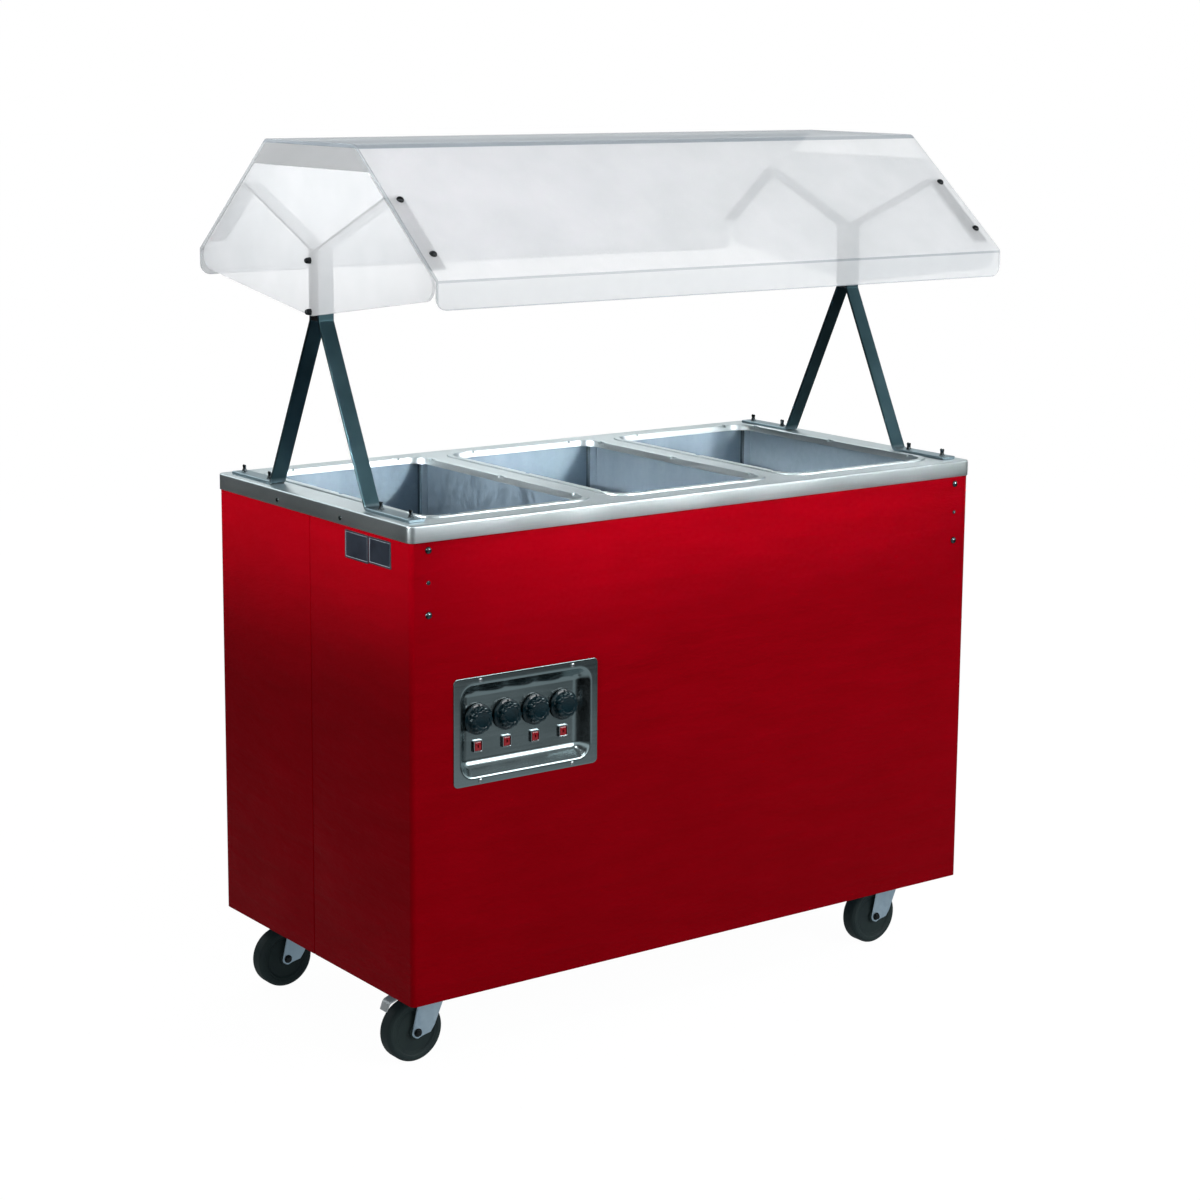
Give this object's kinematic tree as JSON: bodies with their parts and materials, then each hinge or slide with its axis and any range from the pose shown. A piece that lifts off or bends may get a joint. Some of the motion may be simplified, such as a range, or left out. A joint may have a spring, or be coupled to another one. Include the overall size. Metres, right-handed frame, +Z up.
{
  "type": "portable hot food station",
  "caption": "Mobile electric hot food station: red clad cabinet on swivel casters, stainless counter with heated pan wells, recessed knob panel and a clear canopy guard on bent bars.",
  "frame": {"origin": "floor level under the middle of the station", "axes": "+X along the counter towards the right end, -Y towards the side with the controls, +Z up"},
  "size_m": [1.172, 0.74, 1.454],
  "materials": {
    "red_clad": "gloss",
    "galvanised": "satin",
    "counter_steel": "satin",
    "element_black": "matte",
    "insulation": "matte",
    "control_steel": "satin",
    "knob_black": "gloss",
    "switch_black": "matte",
    "lamp_bezel": "polished",
    "lamp_lens": "gloss",
    "label_plate": "satin",
    "screw_steel": "polished",
    "screw_dark": "satin",
    "clear_sheet": "clear",
    "bar_dark": "satin",
    "zinc": "satin",
    "wheel_rubber": "matte",
    "pedal_grey": "satin"
  },
  "bodies": {
    "station": {"front_panel": "red_clad", "rear_panel": "red_clad", "corner_posts": "galvanised", "base_pan": "galvanised", "caster_channels": "galvanised", "countertop": "counter_steel", "well_liner_left": "galvanised", "well_liner_centre": "galvanised", "well_liner_right": "galvanised", "heating_element_left": "element_black", "heating_element_centre": "element_black", "heating_element_right": "element_black", "well_insulation": "insulation", "control_panel": "control_steel", "control_box": "galvanised", "control_switches": "switch_black", "pilot_light_bezels": "lamp_bezel", "pilot_light_lenses": "lamp_lens", "terminal_block": "switch_black", "cord_gland": "switch_black", "rating_plates": "label_plate", "panel_screws": "screw_steel", "control_panel_screws": "screw_steel", "skirt_screws": "screw_steel", "guard_canopy": "clear_sheet", "guard_end_left": "clear_sheet", "guard_end_right": "clear_sheet", "guard_strut_front_left": "bar_dark", "guard_strut_front_right": "bar_dark", "guard_strut_rear_left": "bar_dark", "guard_strut_rear_right": "bar_dark", "guard_spacer_left": "bar_dark", "guard_spacer_right": "bar_dark", "canopy_screws": "screw_dark", "end_panel_screws": "screw_dark", "spacer_screws": "screw_dark", "foot_wing_screws": "screw_steel", "caster_plate_fl": "zinc", "caster_plate_fr": "zinc", "caster_plate_rl": "zinc", "caster_plate_rr": "zinc", "caster_bolts": "zinc"},
    "knob_1": {"knob_1": "knob_black"},
    "knob_2": {"knob_2": "knob_black"},
    "knob_3": {"knob_3": "knob_black"},
    "knob_4": {"knob_4": "knob_black"},
    "swivel_fl": {"caster_fork_fl": "zinc", "caster_axle_fl": "zinc"},
    "wheel_fl": {"caster_wheel_fl": "wheel_rubber"},
    "swivel_fr": {"caster_fork_fr": "zinc", "caster_axle_fr": "zinc"},
    "wheel_fr": {"caster_wheel_fr": "wheel_rubber"},
    "swivel_rl": {"caster_fork_rl": "zinc", "caster_axle_rl": "zinc"},
    "wheel_rl": {"caster_wheel_rl": "wheel_rubber"},
    "swivel_rr": {"caster_fork_rr": "zinc", "caster_axle_rr": "zinc"},
    "wheel_rr": {"caster_wheel_rr": "wheel_rubber"},
    "pedal_fl": {"brake_pedal_fl": "pedal_grey"},
    "pedal_fr": {"brake_pedal_fr": "pedal_grey"}
  },
  "joints": [
    {"name": "knob_1_turn", "type": "hinge", "parent": "station", "child": "knob_1", "pos_m": [-0.44915, -0.3024, 0.5675], "axis": [0, 1, 0], "range_deg": [0, 300]},
    {"name": "knob_2_turn", "type": "hinge", "parent": "station", "child": "knob_2", "pos_m": [-0.39465, -0.3024, 0.5675], "axis": [0, 1, 0], "range_deg": [0, 300]},
    {"name": "knob_3_turn", "type": "hinge", "parent": "station", "child": "knob_3", "pos_m": [-0.34015, -0.3024, 0.5675], "axis": [0, 1, 0], "range_deg": [0, 300]},
    {"name": "knob_4_turn", "type": "hinge", "parent": "station", "child": "knob_4", "pos_m": [-0.28565, -0.3024, 0.5675], "axis": [0, 1, 0], "range_deg": [0, 300]},
    {"name": "swivel_fl_turn", "type": "hinge", "parent": "station", "child": "swivel_fl", "pos_m": [-0.4914, -0.2084, 0.12], "axis": [0, 0, 1], "continuous": true},
    {"name": "wheel_fl_spin", "type": "hinge", "parent": "swivel_fl", "child": "wheel_fl", "pos_m": [-0.5264, -0.2084, 0.051], "axis": [0, 1, 0], "continuous": true},
    {"name": "swivel_fr_turn", "type": "hinge", "parent": "station", "child": "swivel_fr", "pos_m": [0.4914, -0.2084, 0.12], "axis": [0, 0, 1], "continuous": true},
    {"name": "wheel_fr_spin", "type": "hinge", "parent": "swivel_fr", "child": "wheel_fr", "pos_m": [0.4564, -0.2084, 0.051], "axis": [0, 1, 0], "continuous": true},
    {"name": "swivel_rl_turn", "type": "hinge", "parent": "station", "child": "swivel_rl", "pos_m": [-0.4914, 0.2084, 0.12], "axis": [0, 0, 1], "continuous": true},
    {"name": "wheel_rl_spin", "type": "hinge", "parent": "swivel_rl", "child": "wheel_rl", "pos_m": [-0.5264, 0.2084, 0.051], "axis": [0, 1, 0], "continuous": true},
    {"name": "swivel_rr_turn", "type": "hinge", "parent": "station", "child": "swivel_rr", "pos_m": [0.4914, 0.2084, 0.12], "axis": [0, 0, 1], "continuous": true},
    {"name": "wheel_rr_spin", "type": "hinge", "parent": "swivel_rr", "child": "wheel_rr", "pos_m": [0.4564, 0.2084, 0.051], "axis": [0, 1, 0], "continuous": true},
    {"name": "pedal_fl_press", "type": "hinge", "parent": "swivel_fl", "child": "pedal_fl", "pos_m": [-0.5154, -0.2084, 0.108], "axis": [0, -1, 0], "range_deg": [0, 10]},
    {"name": "pedal_fr_press", "type": "hinge", "parent": "swivel_fr", "child": "pedal_fr", "pos_m": [0.4674, -0.2084, 0.108], "axis": [0, -1, 0], "range_deg": [0, 10]}
  ]
}
